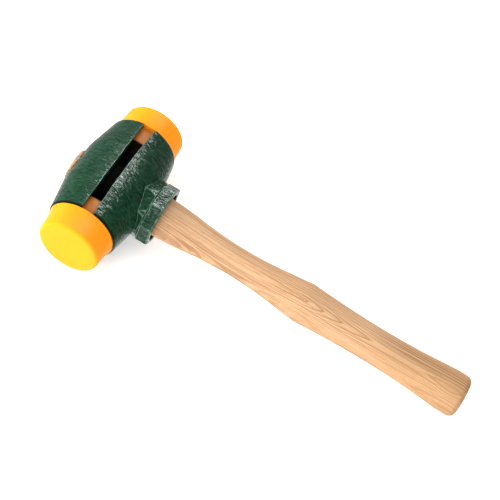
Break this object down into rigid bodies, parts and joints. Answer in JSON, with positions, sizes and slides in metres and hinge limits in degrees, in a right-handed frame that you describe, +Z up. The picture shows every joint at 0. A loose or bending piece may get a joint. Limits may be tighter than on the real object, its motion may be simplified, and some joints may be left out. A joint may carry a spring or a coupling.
{
  "type": "split-head soft-face hammer",
  "caption": "Soft-face mallet with a split cast head clamping two replaceable round plastic faces by a nut, on a contoured wooden handle.",
  "frame": {"origin": "middle of the hammer's bounding box on the bench it lies on", "axes": "+Z up from the bench, +X along the handle to the butt, Y along the head with the front face at -Y"},
  "size_m": [0.3186, 0.124, 0.0621],
  "materials": {
    "enamel": "glossy dark green enamel over rough cast iron",
    "face_plastic": "smooth yellow amber plastic, slightly translucent",
    "hickory": "sanded hickory under thin clear lacquer",
    "wedge_wood": "raw sawn hardwood"
  },
  "bodies": {
    "carrier": {"upper_clamp_half": "enamel", "handle": "hickory", "wooden_wedge": "wedge_wood"},
    "lower_jaw": {"lower_clamp_half": "enamel"},
    "nut": {"clamp_nut": "enamel"},
    "front_insert": {"front_face": "face_plastic"},
    "back_insert": {"back_face": "face_plastic"}
  },
  "joints": [
    {"name": "jaw_slide", "type": "slide", "parent": "carrier", "child": "lower_jaw", "axis": [0.9981, 0, -0.0615], "range_m": [0, 0.006]},
    {"name": "nut_turn", "type": "hinge", "parent": "lower_jaw", "child": "nut", "pos_m": [-0.08972, 0, 0.02892], "axis": [0.9981, 0, -0.0615], "range_deg": [0, 720]},
    {"name": "front_face_slide", "type": "slide", "parent": "carrier", "child": "front_insert", "axis": [0, -1, 0], "range_m": [0, 0.02]},
    {"name": "back_face_slide", "type": "slide", "parent": "carrier", "child": "back_insert", "axis": [0, 1, 0], "range_m": [0, 0.02]}
  ],
  "couplings": [
    {"joint": "nut_turn", "follows": "jaw_slide", "rad_per_m": 2094.4}
  ]
}
